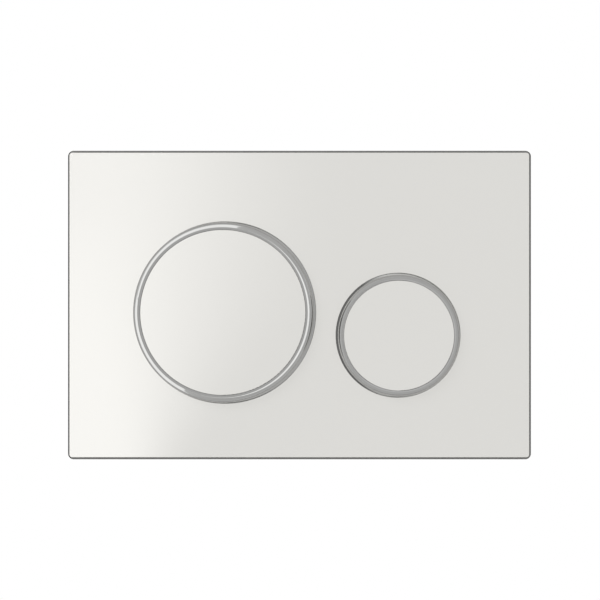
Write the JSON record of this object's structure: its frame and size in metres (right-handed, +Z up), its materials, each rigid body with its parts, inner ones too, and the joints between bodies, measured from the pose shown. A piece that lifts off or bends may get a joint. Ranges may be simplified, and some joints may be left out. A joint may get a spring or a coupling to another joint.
{
  "type": "dual flush plate",
  "caption": "Rectangular wall plate for a concealed cistern, with a large and a small round button in raised bright rings that rock inwards and move push rods behind the wall.",
  "frame": {"origin": "middle of the plate's outline, on the finished wall, halfway between the spacer bolts", "axes": "+X to the right and +Z up as the user sees the plate, +Y into the wall along the spacer bolts; the buttons face -Y"},
  "size_m": [0.246, 0.0917, 0.164],
  "materials": {
    "satin_silver": "moulded plastic with a pale satin silver lacquer",
    "bright_ring": "polished bright plating",
    "dark_moulding": "dark grey moulded plastic, fine grain",
    "pale_moulding": "off-white moulded plastic",
    "frame_moulding": "mid grey moulded plastic, fine grain",
    "rod_plastic": "light grey moulded plastic",
    "steel": "zinc-plated steel",
    "buffer_rubber": "soft black rubber"
  },
  "bodies": {
    "plate": {"face_plate": "satin_silver", "hinge_chassis": "dark_moulding", "chassis_screws": "steel", "large_hinge_pin": "steel", "small_hinge_pin": "steel", "large_return_spring": "steel", "small_return_spring": "steel", "large_stop_buffers": "buffer_rubber", "small_stop_buffers": "buffer_rubber", "mounting_frame": "frame_moulding", "left_spacer_bolt": "rod_plastic", "right_spacer_bolt": "rod_plastic"},
    "large_button": {"large_button_cap": "satin_silver", "large_button_ring": "bright_ring", "large_button_rocker": "pale_moulding", "large_rocker_screws": "steel"},
    "small_button": {"small_button_cap": "satin_silver", "small_button_ring": "bright_ring", "small_button_rocker": "pale_moulding", "small_rocker_screws": "steel"},
    "full_flush_push_rod": {"full_flush_rod_end": "pale_moulding", "full_flush_rod": "rod_plastic", "full_flush_rod_nut": "dark_moulding"},
    "part_flush_push_rod": {"part_flush_rod_end": "pale_moulding", "part_flush_rod": "rod_plastic", "part_flush_rod_nut": "dark_moulding"}
  },
  "joints": [
    {"name": "large_button_press", "type": "hinge", "parent": "plate", "child": "large_button", "pos_m": [-0.0889, 0.0008, -0.004], "axis": [0, 0, 1], "range_deg": [0, 5.5], "stiffness_Nm_per_rad": 1, "springref_deg": -8.59, "deforming": ["large_return_spring"]},
    {"name": "small_button_press", "type": "hinge", "parent": "plate", "child": "small_button", "pos_m": [0.0866, 0.0008, -0.016], "axis": [0, 0, -1], "range_deg": [0, 5.5], "stiffness_Nm_per_rad": 1, "springref_deg": -8.59, "deforming": ["small_return_spring"]},
    {"name": "full_flush_rod_swivel", "type": "hinge", "parent": "large_button", "child": "full_flush_push_rod", "pos_m": [-0.03, 0.0061, -0.01], "axis": [0, 0, 1], "range_deg": [-5.5, 0]},
    {"name": "part_flush_rod_swivel", "type": "hinge", "parent": "small_button", "child": "part_flush_push_rod", "pos_m": [0.03, 0.0061, -0.01], "axis": [0, 0, -1], "range_deg": [-5.5, 0]}
  ],
  "couplings": [
    {"joint": "full_flush_rod_swivel", "follows": "large_button_press", "ratio": -1},
    {"joint": "part_flush_rod_swivel", "follows": "small_button_press", "ratio": -1}
  ]
}
